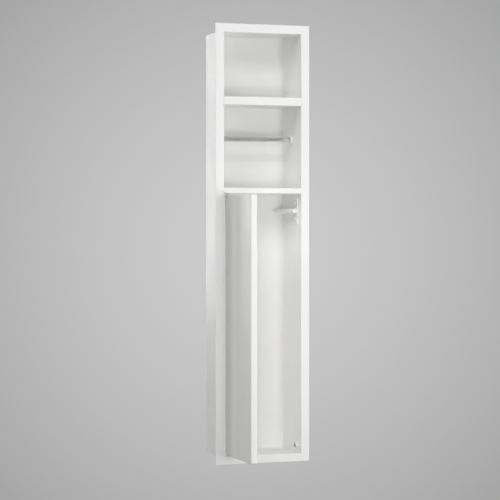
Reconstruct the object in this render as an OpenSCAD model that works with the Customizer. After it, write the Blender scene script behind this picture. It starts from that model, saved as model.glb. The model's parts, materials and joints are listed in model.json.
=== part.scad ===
// Recessed bathroom cabinet in folded sheet metal: a tall narrow box that is let into a wall behind a
// thin flange, with two shelves, a roll compartment and a lower compartment closed by a pivot door.
// Millimetres. +Z is up, +X is to the right of someone who faces the cabinet, and the front faces -Y.
// The origin lies on the back panel's outer face, at mid width and at half the flange's height.

/* [Cabinet body] */
// Height over the flange
cabinet_h = 800; // [640:1:1000]
// Clear width between the side panels
clear_w = 150; // [130:1:220]
// Clear depth from the flange's front to the back panel
clear_d = 93; // [88:1:140]
// Thickness of the body sheet
sheet_t = 2; // [1:0.1:3]
// Outer bend radius at the rear of the top and bottom panels
rear_bend_r = 5; // [3.5:0.5:8]
// Height of the lips that the top and bottom panels turn down and up at the rear
rear_lip = 12; // [10:1:25]

/* [Flange] */
// Width of the flange beside and above the clear opening
flange_w = 16; // [12:1:25]
// Width of the flange below the clear opening
flange_foot_w = 14.5; // [12:0.5:25]
// Thickness of the flange
flange_t = 2.5; // [2:0.1:4]
// Thickness of the flange's skin in front of the body's edges
flange_skin = 1.5; // [0.6:0.1:1.8]
// Corner radius of the flange
flange_corner_r = 1.2; // [0.5:0.1:6]

/* [Shelves] */
// Clear height of the lower compartment
lower_clear_h = 476.5; // [380:0.5:520]
// Clear height of the roll compartment
roll_clear_h = 150; // [130:1:170]
// Thickness of the lower shelf
lower_shelf_t = 11; // [8:0.5:20]
// Thickness of the upper shelf
upper_shelf_t = 16; // [8:0.5:25]
// Outer bend radius along the front edges of the shelves
shelf_bend_r = 2.4; // [2.2:0.1:3.5]
// Thickness of the shelf sheet
shelf_sheet_t = 1.5; // [1:0.1:2]

/* [Door] */
// Thickness of the door
door_t = 11.5; // [10:0.5:16]
// Gap between the closed door and each side panel
door_side_gap = 1.5; // [1.2:0.1:3]
// Gap above the door
door_top_gap = 2; // [1.5:0.1:4]
// Gap below the door
door_bottom_gap = 1.3; // [1.3:0.1:4]
// Thickness of the door's sheet
door_sheet_t = 1.5; // [1:0.1:2]
// Outer radius of the door's edges beside the pivots
door_hinge_r = 2.6; // [2.4:0.1:4]
// Outer radius of the door's free edges
door_free_r = 1.6; // [1:0.1:2.4]
// Distance from the door's hinge edge to the pivot axis
pivot_inset = 11.6; // [9:0.1:14]
// Angle at which the door stands open at rest
door_open = 91.3; // [0:0.1:130]

/* [Pivots] */
// Radius of the pivot pins
pivot_r = 2.5; // [1.5:0.1:3]
// How far each pivot pin reaches into the door
pivot_reach = 12; // [6:0.5:16]
// Height of the pivot blocks inside the door
pivot_block_h = 20; // [18:1:40]
// Length of the pivot blocks along the door, past the pivot axis
pivot_block_l = 10; // [6:0.5:20]
// Radius of the collars that carry the pivots
pivot_collar_r = 5; // [4.2:0.1:6]
// Thickness of those collars
pivot_collar_t = 0.7; // [0.5:0.1:0.8]
// Thickness of the nylon washer under the door
pivot_washer_t = 0.4; // [0.2:0.1:0.4]
// Radius of the nylon spigots where the pivots enter the door
pivot_spigot_r = 3.7; // [3.6:0.1:4]
// Radius of the head of the lower pivot screw
pivot_head_r = 3; // [2.8:0.1:3.1]

/* [Touch latch] */
// Distance from the latch's axis to the right side panel
latch_offset = 13; // [12:0.5:16]
// Distance from the latch's axis up to the lower shelf
latch_drop = 31; // [27:0.5:60]
// Radius of the latch barrel
latch_r = 5; // [4.8:0.1:6]
// Radius of the narrow nose of the barrel
latch_nose_r = 4.2; // [4:0.1:4.6]
// Length of the narrow nose of the barrel
latch_nose_l = 9.5; // [6:0.5:14]
// Length of the whole barrel with its rear cap
latch_l = 70; // [60:1:72]
// Wall of the barrel round the plunger's guide collar
latch_wall = 1; // [0.8:0.05:1.1]
// Distance from the closed door's inner face to the front of the barrel
latch_setback = 3.5; // [3.3:0.1:4]
// Length of the plug that holds the rear cap in the barrel
latch_plug_l = 3; // [2:0.5:4]
// Radius of the plunger
plunger_r = 3.2; // [2.8:0.1:3.4]
// Distance that the closed door presses the plunger in
plunger_stroke = 9; // [4:0.5:9.5]
// Length of the plunger
plunger_l = 33; // [30:0.5:36]
// Length of the guide collar at the plunger's inner end
plunger_collar_l = 6; // [4:0.5:6]
// Radius of the magnet in the plunger's tip
magnet_r = 2.4; // [1.5:0.1:2.4]
// Thickness of the magnet
magnet_t = 2; // [1:0.1:4]
// Thickness of the plunger's tip in front of the magnet
plunger_skin = 0.8; // [0.5:0.1:1.5]
// Radius of the half-round plate that holds the latch to the wall
latch_plate_r = 24.5; // [22:0.5:26]
// Distance from the middle of that plate's arc back to its straight edge
latch_plate_cut = 3; // [0:0.5:4]
// Thickness of that plate
latch_plate_t = 2.5; // [1.5:0.1:4]
// Height of the saddle between plate and barrel
saddle_h = 8; // [5:0.5:9]
// Length of the saddle along the barrel
saddle_l = 15; // [8:0.5:18]
// Distance from the front of the barrel back to the saddle
saddle_setback = 1; // [0.5:0.5:3]
// Distance of each mounting screw above and below the latch's axis
latch_screw_spread = 14; // [9:0.5:15]
// Distance of the mounting screws behind the plate's straight edge
latch_screw_back = 9; // [7:0.5:10]
// Radial thickness of the springs in the latch and in the roll rod
spring_wall = 0.6; // [0.4:0.1:0.8]

/* [Strike plate] */
// Height of the strike plate on the door
strike_h = 28; // [22:1:40]
// Width of the strike plate
strike_w = 14; // [10:0.5:20]
// Thickness of the strike plate
strike_t = 1; // [0.6:0.1:1.2]
// Corner radius of the strike plate
strike_corner_r = 2; // [0.5:0.5:4]
// Distance of each strike screw above and below the plate's centre
strike_screw_spread = 10; // [7:0.5:11]
// How far the strike screws reach past the door's inner cover
strike_screw_reach = 3; // [2:0.5:5]

/* [Screws] */
// Radius of the small screws' shanks
screw_r = 1.4; // [1:0.1:1.6]
// Radius of the small screws' heads
screw_head_r = 2.8; // [2.2:0.1:3]
// Height of the small screws' heads
screw_head_h = 1.4; // [1:0.1:2]
// Width across the flats of the screws' hexagon sockets
screw_hex_af = 2.4; // [1.6:0.1:2.6]
// Depth of the screws' hexagon sockets
screw_hex_d = 0.9; // [0.4:0.1:0.9]

/* [Door stop] */
// Height of the door stop's axis above the compartment's floor
stop_h = 13; // [9:0.5:60]
// Radius of the door stop's post
stop_r = 4.25; // [4:0.05:5]
// Length of the door stop's post from the side panel
stop_l = 5.5; // [4.5:0.5:12]
// Radius of the door stop's foot
stop_foot_r = 7.2; // [6:0.1:8]
// Thickness of the door stop's foot
stop_foot_t = 1; // [0.6:0.1:1.2]
// Depth of the screw's pocket in the door stop
stop_pocket_d = 1.5; // [1.4:0.1:3.5]
// Wall of the door stop's post around its screw's head
stop_wall = 0.6; // [0.5:0.05:0.8]
// Distance that the closed door can still be pushed in before it meets the stop
push_in = 2; // [1:0.1:3]

/* [Roll rod] */
// Height of the roll rod above the lower shelf
rod_h = 90; // [70:1:95]
// Radius of the roll rod
rod_r = 4.75; // [4:0.05:7]
// Wall of the rod's outer tube
rod_wall = 0.8; // [0.5:0.05:1]
// Wall of the rod's inner tube
rod_inner_wall = 0.8; // [0.5:0.05:1]
// Length of the rod's outer tube
rod_outer_l = 92; // [80:1:100]
// Distance that the rod shortens when it is pressed together
rod_travel = 8; // [6:0.5:10]
// Length of the rod's spring when it is fully pressed
rod_spring_l = 25; // [18:0.5:32]
// Length of the domed end caps of the rod
rod_cap_l = 6; // [5:0.5:10]
// Length of the plugs that hold the caps in the tubes
rod_plug_l = 6; // [4:0.5:8]
// Radius of the sockets on the side panels
socket_r = 8; // [7:0.1:10]
// Length of the sockets from the side panels
socket_l = 5; // [4:0.5:7]
// Thickness of the sockets' floors
socket_floor = 1; // [0.6:0.1:1.5]
// Radius of the stems that fix the sockets in the side panels
socket_stem_r = 3; // [2:0.1:4]

/* [Clearances] */
// Radial clearance of a pin or rod that turns or slides in its hole
run_gap = 0.05; // [0.02:0.01:0.1]
// Clearance at the end of a part that turns or slides
end_gap = 0.2; // [0.1:0.05:0.4]
// Clearance of a fixed part in its hole
seat_gap = 0.03; // [0.01:0.01:0.1]
// Clearance round the door's inner cover
cover_gap = 0.2; // [0.1:0.05:0.5]

/* [Hidden] */
$fn = 48;

white = "#f2f1ee";
steel = "#b9bcbf";
nylon = "#e6e5e0";
dark_steel = "#5c5f63";

// Main heights above the flange's bottom edge, and half widths from the middle plane
half_w = clear_w / 2;
body_half_w = half_w + sheet_t;
flange_half_w = half_w + flange_w;
body_d = clear_d + sheet_t;
floor_z = flange_foot_w;
ceiling_z = cabinet_h - flange_w;
body_bottom_z = floor_z - sheet_t;
body_top_z = ceiling_z + sheet_t;
lower_shelf_z = floor_z + lower_clear_h;
roll_floor_z = lower_shelf_z + lower_shelf_t;
upper_shelf_z = roll_floor_z + roll_clear_h;

// Door, with its pivot axis
door_w = clear_w - 2 * door_side_gap;
door_z = floor_z + door_bottom_gap;
door_h = lower_clear_h - door_bottom_gap - door_top_gap;
pivot_x = -half_w + door_side_gap + pivot_inset;
pivot_y = door_t / 2;
door_free_x = door_w - pivot_inset;
cover_w = door_w - 2 * (door_sheet_t + cover_gap);
cover_h = door_h - 2 * (door_sheet_t + cover_gap);
cavity_d = door_t - 2 * door_sheet_t;

// Touch latch on the right side panel
latch_x = half_w - latch_offset;
latch_z = lower_shelf_z - latch_drop;
latch_y = door_t + latch_setback;
latch_bore_r = plunger_r + run_gap;
latch_guide_r = latch_r - latch_wall;
latch_cap_l = latch_r;
latch_barrel_l = latch_l - latch_cap_l;
plunger_tip_y = door_t + strike_t + run_gap - plunger_stroke;
plunger_end_y = plunger_tip_y + plunger_l;
plunger_collar_r = latch_guide_r - run_gap;
latch_spring_y = plunger_end_y + end_gap;
latch_spring_end_y = latch_y + latch_barrel_l - latch_plug_l - end_gap;
latch_plate_y = door_t + push_in + end_gap;
latch_screw_y = latch_plate_y + latch_screw_back;
strike_x = latch_x - pivot_x;
strike_z = latch_z - door_z;

// Door stop on the right side panel
stop_y = door_t + push_in + stop_r;
stop_z = floor_z + stop_h;
stop_head_r = stop_r - stop_wall - end_gap;

// Roll rod between its two sockets
rod_y = clear_d / 2;
rod_z = roll_floor_z + rod_h;
rod_end_x = half_w - socket_floor - end_gap;
rod_bore_r = rod_r - rod_wall;
rod_inner_r = rod_bore_r - run_gap;
rod_inner_bore_r = rod_inner_r - rod_inner_wall;
rod_outer_x = -rod_end_x + rod_cap_l;
rod_inner_end_x = rod_end_x - rod_cap_l;
rod_spring_x = rod_outer_x + rod_plug_l + end_gap;
rod_spring_end_x = rod_spring_x + rod_spring_l + rod_travel + end_gap;
rod_inner_x = rod_spring_end_x + end_gap;
rod_inner_l = rod_inner_end_x - rod_inner_x;

// Moves a piece from the flange's bottom front edge to the part's own frame
module placed() {
    translate([0, -body_d, -cabinet_h / 2]) children();
}

// Moves a piece from the closed door's own frame, at the foot of the pivot axis, to its place at rest
module on_door() {
    placed() translate([pivot_x, pivot_y, door_z]) rotate([0, 0, -door_open]) children();
}

// A cylinder along +X, +Y
module along_x(l, r) {
    rotate([0, 90, 0]) cylinder(h = l, r = r);
}

module along_y(l, r) {
    rotate([-90, 0, 0]) cylinder(h = l, r = r);
}

// Rectangle with one radius on its two left corners and another on its two right ones
module soft_rect(w, h, left_r, right_r) {
    translate([left_r, 0]) square([w - left_r - right_r, h]);
    translate([0, left_r]) square([left_r, h - 2 * left_r]);
    translate([w - right_r, right_r]) square([right_r, h - 2 * right_r]);
    for (y = [left_r, h - left_r]) translate([left_r, y]) circle(r = left_r);
    for (y = [right_r, h - right_r]) translate([w - right_r, y]) circle(r = right_r);
}

// Sheet seen from its end: a run along +X that turns up through a bend into a lip
module bent_sheet(run, lip, t, r) {
    square([run - r, t]);
    translate([run - t, r]) square([t, lip - r]);
    intersection() {
        translate([run - r, r]) difference() {
            circle(r = r);
            circle(r = r - t);
        }
        translate([run - r, 0]) square([r, r]);
    }
}

// Pan-head screw with its seat at the origin, its head towards +Z and a hexagon socket in the head
module screw(shank_l, head_r = screw_head_r) {
    difference() {
        union() {
            cylinder(h = screw_head_h, r = head_r);
            translate([0, 0, -shank_l]) cylinder(h = shank_l, r = screw_r);
        }
        translate([0, 0, screw_head_h - screw_hex_d])
            cylinder(h = screw_hex_d + 1, r = screw_hex_af / sqrt(3), $fn = 6);
    }
}

// Body

module front_frame() {
    color(white) placed() rotate([90, 0, 0]) mirror([0, 0, 1]) difference() {
        translate([-flange_half_w, 0]) linear_extrude(flange_t)
            soft_rect(2 * flange_half_w, cabinet_h, flange_corner_r, flange_corner_r);
        translate([-half_w, floor_z, -1]) cube([clear_w, ceiling_z - floor_z, flange_t + 2]);
        translate([-body_half_w, body_bottom_z, flange_skin])
            cube([2 * body_half_w, body_top_z - body_bottom_z, flange_t]);
    }
}

// Side panel in its own plane: X to the rear, Y up, with its two rear corners rounded like the bends
module side_panel_plate() {
    linear_extrude(sheet_t) translate([flange_skin, body_bottom_z])
        difference() {
            square([body_d - flange_skin, body_top_z - body_bottom_z]);
            side_panel_corner();
            translate([0, body_top_z - body_bottom_z]) mirror([0, 1]) side_panel_corner();
        }
}

// What is cut from the side panel's lower rear corner
module side_panel_corner() {
    translate([body_d - flange_skin - rear_bend_r, 0]) difference() {
        translate([0, -1]) square([rear_bend_r + 1, rear_bend_r + 1]);
        translate([0, rear_bend_r]) circle(r = rear_bend_r);
    }
}

module left_side_panel() {
    color(white) placed() difference() {
        translate([-body_half_w, 0, 0]) rotate([90, 0, 90]) side_panel_plate();
        translate([-body_half_w - 1, rod_y, rod_z]) along_x(sheet_t + 2, socket_stem_r + seat_gap);
    }
}

module right_side_panel() {
    color(white) placed() difference() {
        translate([half_w, 0, 0]) rotate([90, 0, 90]) side_panel_plate();
        translate([half_w - 1, rod_y, rod_z]) along_x(sheet_t + 2, socket_stem_r + seat_gap);
        translate([half_w - 1, stop_y, stop_z]) along_x(sheet_t + 2, screw_r + seat_gap);
        for (s = [-1, 1]) translate([half_w - 1, latch_screw_y, latch_z + s * latch_screw_spread])
            along_x(sheet_t + 2, screw_r + seat_gap);
    }
}

// Bottom panel's sheet with its rear lip, seen along X and drawn out over the clear width
module end_panel() {
    translate([-half_w, flange_skin, 0]) rotate([90, 0, 90])
        linear_extrude(clear_w) bent_sheet(body_d - flange_skin, rear_lip, sheet_t, rear_bend_r);
}

module top_panel() {
    color(white) placed() translate([0, 0, body_top_z]) mirror([0, 0, 1]) end_panel();
}

module bottom_panel() {
    color(white) placed() difference() {
        translate([0, 0, body_bottom_z]) end_panel();
        translate([pivot_x, pivot_y, body_bottom_z - 1])
            cylinder(h = sheet_t + 2, r = pivot_spigot_r + seat_gap);
    }
}

module back_panel() {
    color(white) placed() translate([-half_w, clear_d, body_bottom_z + rear_lip])
        cube([clear_w, sheet_t, body_top_z - body_bottom_z - 2 * rear_lip]);
}

// Shelf folded from one sheet: top, rounded front and underside, open towards the back panel
module folded_shelf(t) {
    translate([-half_w, 0, 0]) rotate([90, 0, 90]) linear_extrude(clear_w) difference() {
        intersection() {
            soft_rect(clear_d + 2 * shelf_bend_r, t, shelf_bend_r, shelf_bend_r);
            square([clear_d, t]);
        }
        translate([shelf_sheet_t, shelf_sheet_t]) square([clear_d, t - 2 * shelf_sheet_t]);
    }
}

module upper_shelf() {
    color(white) placed() translate([0, 0, upper_shelf_z]) folded_shelf(upper_shelf_t);
}

module lower_shelf() {
    color(white) placed() translate([0, 0, lower_shelf_z]) folded_shelf(lower_shelf_t);
}

// Pivots that the door turns on

module upper_pivot_pin() {
    color(white) placed() translate([pivot_x, pivot_y, lower_shelf_z]) mirror([0, 0, 1]) {
        cylinder(h = pivot_collar_t, r = pivot_collar_r);
        cylinder(h = door_top_gap + pivot_reach, r = pivot_r);
    }
}

module lower_pivot_bush() {
    color(steel) placed() translate([pivot_x, pivot_y, body_bottom_z]) difference() {
        union() {
            cylinder(h = sheet_t, r = pivot_spigot_r);
            translate([0, 0, sheet_t]) cylinder(h = pivot_collar_t, r = pivot_collar_r);
        }
        translate([0, 0, -1]) cylinder(h = sheet_t + pivot_collar_t + 2, r = pivot_r + seat_gap);
        translate([0, 0, -1]) cylinder(h = sheet_t + 1, r = pivot_head_r + seat_gap);
    }
}

// Its head lies in the bush, flush with the bottom panel
module lower_pivot_screw() {
    color(steel) placed() translate([pivot_x, pivot_y, body_bottom_z]) difference() {
        union() {
            cylinder(h = sheet_t, r = pivot_head_r);
            cylinder(h = sheet_t + door_bottom_gap + pivot_reach, r = pivot_r);
        }
        translate([0, 0, -1]) cylinder(h = screw_hex_d + 1, r = screw_hex_af / sqrt(3), $fn = 6);
    }
}

module lower_pivot_washer() {
    color(nylon) placed() translate([pivot_x, pivot_y, floor_z + pivot_collar_t]) difference() {
        cylinder(h = pivot_washer_t, r = pivot_collar_r - end_gap);
        translate([0, 0, -1]) cylinder(h = pivot_washer_t + 2, r = pivot_r + seat_gap);
    }
}

// Door, drawn closed: X from the pivot axis to the free edge, Y from the middle of its thickness

module door_outline(inset) {
    translate([-pivot_inset + inset, -door_t / 2 + inset])
        soft_rect(door_w - 2 * inset, door_t - 2 * inset, door_hinge_r - inset, door_free_r - inset);
}

module door_outer_pan() {
    color(white) on_door() difference() {
        linear_extrude(door_h) door_outline(0);
        translate([-pivot_inset + door_sheet_t, -door_t / 2 + door_sheet_t, door_sheet_t])
            cube([door_w - 2 * door_sheet_t, door_t, door_h - 2 * door_sheet_t]);
        translate([0, 0, -1]) cylinder(h = door_h + 2, r = pivot_spigot_r + seat_gap);
    }
}

module door_inner_cover() {
    color(white) on_door() difference() {
        translate([-pivot_inset, door_t / 2 - door_sheet_t, 0])
            translate([door_sheet_t + cover_gap, 0, door_sheet_t + cover_gap])
                cube([cover_w, door_sheet_t, cover_h]);
        for (s = [-1, 1]) translate([strike_x, 0, strike_z + s * strike_screw_spread])
            along_y(door_t, screw_r + seat_gap);
    }
}

// Nylon block that fills the door's corner and guides a pivot, with a spigot in the pan's edge
module pivot_block() {
    difference() {
        union() {
            translate([-pivot_inset + door_sheet_t, -cavity_d / 2, door_sheet_t])
                cube([pivot_inset - door_sheet_t + pivot_block_l, cavity_d, pivot_block_h]);
            cylinder(h = 2 * door_sheet_t, r = pivot_spigot_r);
        }
        translate([0, 0, -1]) cylinder(h = pivot_block_h + door_sheet_t + 2, r = pivot_r + run_gap);
    }
}

module upper_pivot_block() {
    color(nylon) on_door() translate([0, 0, door_h]) mirror([0, 0, 1]) pivot_block();
}

module lower_pivot_block() {
    color(nylon) on_door() pivot_block();
}

module strike_plate() {
    color(steel) on_door() translate([strike_x, door_t / 2, strike_z]) difference() {
        rotate([-90, 0, 0]) translate([-strike_w / 2, -strike_h / 2]) linear_extrude(strike_t)
            soft_rect(strike_w, strike_h, strike_corner_r, strike_corner_r);
        for (s = [-1, 1]) translate([0, -1, s * strike_screw_spread])
            along_y(strike_t + 2, screw_r + seat_gap);
    }
}

module strike_screws() {
    color(steel) on_door() for (s = [-1, 1])
        translate([strike_x, door_t / 2 + strike_t, strike_z + s * strike_screw_spread])
            rotate([-90, 0, 0]) screw(strike_t + door_sheet_t + strike_screw_reach);
}

// Touch latch

module latch_mount() {
    color(white) placed() translate([0, 0, latch_z]) difference() {
        union() {
            translate([half_w - latch_plate_t, latch_plate_y - latch_plate_cut, 0]) intersection() {
                along_x(latch_plate_t, latch_plate_r);
                translate([0, latch_plate_cut, -latch_plate_r])
                    cube([latch_plate_t, latch_plate_r, 2 * latch_plate_r]);
            }
            translate([latch_x, latch_y + saddle_setback, -saddle_h / 2])
                cube([latch_offset - latch_plate_t / 2, saddle_l, saddle_h]);
        }
        translate([latch_x, latch_y, 0]) along_y(latch_l, latch_r + seat_gap);
        for (s = [-1, 1]) translate([half_w - latch_plate_t - 1, latch_screw_y, s * latch_screw_spread])
            along_x(latch_plate_t + 2, screw_r + seat_gap);
    }
}

module latch_mount_screws() {
    color(white) placed() for (s = [-1, 1])
        translate([half_w - latch_plate_t, latch_screw_y, latch_z + s * latch_screw_spread])
            rotate([0, -90, 0]) screw(latch_plate_t + sheet_t);
}

module latch_barrel() {
    color(white) placed() translate([latch_x, latch_y, latch_z]) difference() {
        union() {
            along_y(latch_nose_l + 1, latch_nose_r);
            translate([0, latch_nose_l, 0]) along_y(latch_barrel_l - latch_nose_l, latch_r);
        }
        translate([0, -1, 0]) along_y(latch_l, latch_bore_r);
        translate([0, latch_nose_l + 1, 0]) along_y(latch_l, latch_guide_r);
    }
}

module latch_rear_cap() {
    color(white) placed() translate([latch_x, latch_y + latch_barrel_l, latch_z]) {
        intersection() {
            sphere(r = latch_cap_l);
            along_y(latch_cap_l, latch_r);
        }
        translate([0, -latch_plug_l, 0]) along_y(latch_plug_l + 1, latch_guide_r - seat_gap);
    }
}

// Hollow plunger, closed at its tip
module latch_plunger() {
    color(white) placed() translate([latch_x, plunger_tip_y, latch_z]) difference() {
        union() {
            along_y(plunger_l, plunger_r);
            translate([0, plunger_l - plunger_collar_l, 0]) along_y(plunger_collar_l, plunger_collar_r);
        }
        translate([0, plunger_skin, 0]) along_y(plunger_l, magnet_r + seat_gap);
    }
}

module latch_magnet() {
    color(steel) placed() translate([latch_x, plunger_tip_y + plunger_skin, latch_z])
        along_y(magnet_t, magnet_r);
}

module latch_spring() {
    color(steel) placed() translate([latch_x, latch_spring_y, latch_z]) difference() {
        along_y(latch_spring_end_y - latch_spring_y, plunger_collar_r - end_gap);
        translate([0, -1, 0])
            along_y(latch_spring_end_y - latch_spring_y + 2, plunger_collar_r - end_gap - spring_wall);
    }
}

// Door stop

module door_stop_post() {
    color(white) placed() translate([half_w, stop_y, stop_z]) rotate([0, -90, 0]) difference() {
        union() {
            cylinder(h = stop_l, r = stop_r);
            cylinder(h = stop_foot_t, r = stop_foot_r);
        }
        translate([0, 0, -1]) cylinder(h = stop_l + 2, r = screw_r + seat_gap);
        translate([0, 0, stop_l - stop_pocket_d])
            cylinder(h = stop_pocket_d + 1, r = stop_head_r + end_gap);
    }
}

module door_stop_screw() {
    color(dark_steel) placed() translate([half_w - stop_l + stop_pocket_d, stop_y, stop_z])
        rotate([0, -90, 0]) screw(stop_l - stop_pocket_d + sheet_t, stop_head_r);
}

// Roll rod and its sockets

// Cup that opens towards +X, with its back on the side panel and a stem through the panel
module rod_socket() {
    difference() {
        union() {
            along_x(socket_l, socket_r);
            translate([-sheet_t, 0, 0]) along_x(sheet_t + 1, socket_stem_r);
        }
        translate([socket_floor, 0, 0]) along_x(socket_l, rod_r + run_gap);
    }
}

module left_rod_socket() {
    color(white) placed() translate([-half_w, rod_y, rod_z]) rod_socket();
}

module right_rod_socket() {
    color(white) placed() translate([half_w, rod_y, rod_z]) mirror([1, 0, 0]) rod_socket();
}

// Domed cap at the left end of a tube that begins at the origin and runs along +X
module rod_cap(plug_r) {
    dome_r = rod_r / 2;
    rotate([0, 90, 0]) rotate_extrude() {
        translate([0, -rod_cap_l]) square([rod_r - dome_r, rod_cap_l]);
        translate([0, dome_r - rod_cap_l]) square([rod_r, rod_cap_l - dome_r]);
        intersection() {
            translate([rod_r - dome_r, dome_r - rod_cap_l]) circle(r = dome_r);
            translate([0, -rod_cap_l]) square([rod_r, dome_r]);
        }
        square([plug_r, rod_plug_l]);
    }
}

module rod_outer_tube() {
    color(steel) placed() translate([rod_outer_x, rod_y, rod_z]) difference() {
        along_x(rod_outer_l, rod_r);
        translate([-1, 0, 0]) along_x(rod_outer_l + 2, rod_bore_r);
    }
}

module rod_left_cap() {
    color(steel) placed() translate([rod_outer_x, rod_y, rod_z]) rod_cap(rod_bore_r - seat_gap);
}

module rod_inner_tube() {
    color(steel) placed() translate([rod_inner_x, rod_y, rod_z]) difference() {
        along_x(rod_inner_l, rod_inner_r);
        translate([-1, 0, 0]) along_x(rod_inner_l + 2, rod_inner_bore_r);
    }
}

module rod_right_cap() {
    color(steel) placed() translate([rod_inner_end_x, rod_y, rod_z]) mirror([1, 0, 0])
        rod_cap(rod_inner_bore_r - seat_gap);
}

module rod_spring() {
    color(steel) placed() translate([rod_spring_x, rod_y, rod_z]) difference() {
        along_x(rod_spring_end_x - rod_spring_x, rod_bore_r - end_gap);
        translate([-1, 0, 0])
            along_x(rod_spring_end_x - rod_spring_x + 2, rod_bore_r - end_gap - spring_wall);
    }
}

front_frame();
left_side_panel();
right_side_panel();
top_panel();
bottom_panel();
back_panel();
upper_shelf();
lower_shelf();
upper_pivot_pin();
lower_pivot_bush();
lower_pivot_screw();
lower_pivot_washer();
door_outer_pan();
door_inner_cover();
upper_pivot_block();
lower_pivot_block();
strike_plate();
strike_screws();
latch_mount();
latch_mount_screws();
latch_barrel();
latch_rear_cap();
latch_plunger();
latch_magnet();
latch_spring();
door_stop_post();
door_stop_screw();
left_rod_socket();
right_rod_socket();
rod_outer_tube();
rod_left_cap();
rod_inner_tube();
rod_right_cap();
rod_spring();
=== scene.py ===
import json
import math

import bmesh
import bpy
from mathutils import Matrix, Vector


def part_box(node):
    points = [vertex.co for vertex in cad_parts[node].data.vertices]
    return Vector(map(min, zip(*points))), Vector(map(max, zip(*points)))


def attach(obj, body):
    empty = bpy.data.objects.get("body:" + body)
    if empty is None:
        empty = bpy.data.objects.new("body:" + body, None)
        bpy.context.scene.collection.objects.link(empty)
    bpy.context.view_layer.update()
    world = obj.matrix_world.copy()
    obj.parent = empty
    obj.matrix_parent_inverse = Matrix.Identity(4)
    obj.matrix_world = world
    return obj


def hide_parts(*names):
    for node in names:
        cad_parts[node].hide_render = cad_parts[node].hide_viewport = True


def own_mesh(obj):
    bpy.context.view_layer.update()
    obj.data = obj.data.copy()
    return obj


bl_info = {
    "name": "Recessed roll cabinet",
    "version": (1, 0, 0),
    "blender": (4, 5, 0),
    "location": "View3D > Sidebar > Roll cabinet",
    "description": "Dresses the packed frame of a recessed bathroom cabinet in finished sheet metal",
    "category": "Object",
}

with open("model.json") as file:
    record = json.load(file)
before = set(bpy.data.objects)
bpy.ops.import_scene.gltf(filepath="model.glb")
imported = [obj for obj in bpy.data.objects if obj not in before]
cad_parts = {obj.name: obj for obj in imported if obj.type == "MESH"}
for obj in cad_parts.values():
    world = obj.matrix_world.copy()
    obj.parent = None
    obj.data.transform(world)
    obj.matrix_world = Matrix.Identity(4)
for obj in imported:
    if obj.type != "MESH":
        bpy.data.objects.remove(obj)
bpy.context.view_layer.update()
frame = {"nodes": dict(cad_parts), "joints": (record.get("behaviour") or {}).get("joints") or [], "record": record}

RECORD = frame["record"]
SLOT_OF = {part["node"]: part["material_slot"] for part in RECORD["subparts"]}
BODY_OF = {node: body for body, nodes in RECORD["behaviour"]["bodies"].items() for node in nodes}
JOINTS = {joint["name"]: joint for joint in frame["joints"]}
# How far past a right angle the door stands open at rest
PAST_SQUARE = math.radians(-JOINTS["door_pivot"]["range_deg"][0] - 90)
MM = 0.001
WELD_GAP = 1e-6
# Corners of a turned part's rings
ROUND = 0
HEX = 6
# Radius of the pivots' holes in the bottom panel and the door pan, and how far the cutter passes the pan
PIVOT_HOLE_R = 3.73 * MM
DRILL_PAST = 5 * MM
# Space all round between a plug and its bore
FIT_GAP = 0.03 * MM
# Points that each coil of a spring is wound on
COIL_STEPS = 28.0
# How far forward of the back panel's front the side panels' edges are still eased
OPEN_REACH = 50 * MM
# Rounding of the flange's outer edges, as a share of its opening's
RIM_SHARE = 0.35


# Sizes read from the frame

def low(node):
    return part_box(node)[0]


def high(node):
    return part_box(node)[1]


def middle(node):
    lowest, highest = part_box(node)
    return (lowest + highest) / 2


def extent(node):
    lowest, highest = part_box(node)
    return highest - lowest


def door_turn(angle):
    """Turn of the door about its pivots, counter-clockwise when seen from above"""
    pivot = Vector(JOINTS["door_pivot"]["pos_m"])
    return Matrix.Translation(pivot) @ Matrix.Rotation(angle, 4, "Z") @ Matrix.Translation(-pivot)


def square_box(node):
    """Bounds of one of the door's nodes, with the door at a right angle to the flange"""
    turn = door_turn(PAST_SQUARE)
    axes = list(zip(*(turn @ vert.co for vert in frame["nodes"][node].data.vertices)))
    return Vector([min(axis) for axis in axes]), Vector([max(axis) for axis in axes])


# Settings

def length_setting(name, description, default, lowest, highest):
    return bpy.props.FloatProperty(
        name=name, description=description, default=default, min=lowest, max=highest, unit="LENGTH")


def colour_setting(name, description, default):
    return bpy.props.FloatVectorProperty(
        name=name, description=description, default=default, min=0, max=1, subtype="COLOR")


def power_setting(name, description, default):
    return bpy.props.FloatProperty(
        name=name, description=description, default=default, min=0, unit="POWER")


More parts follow.
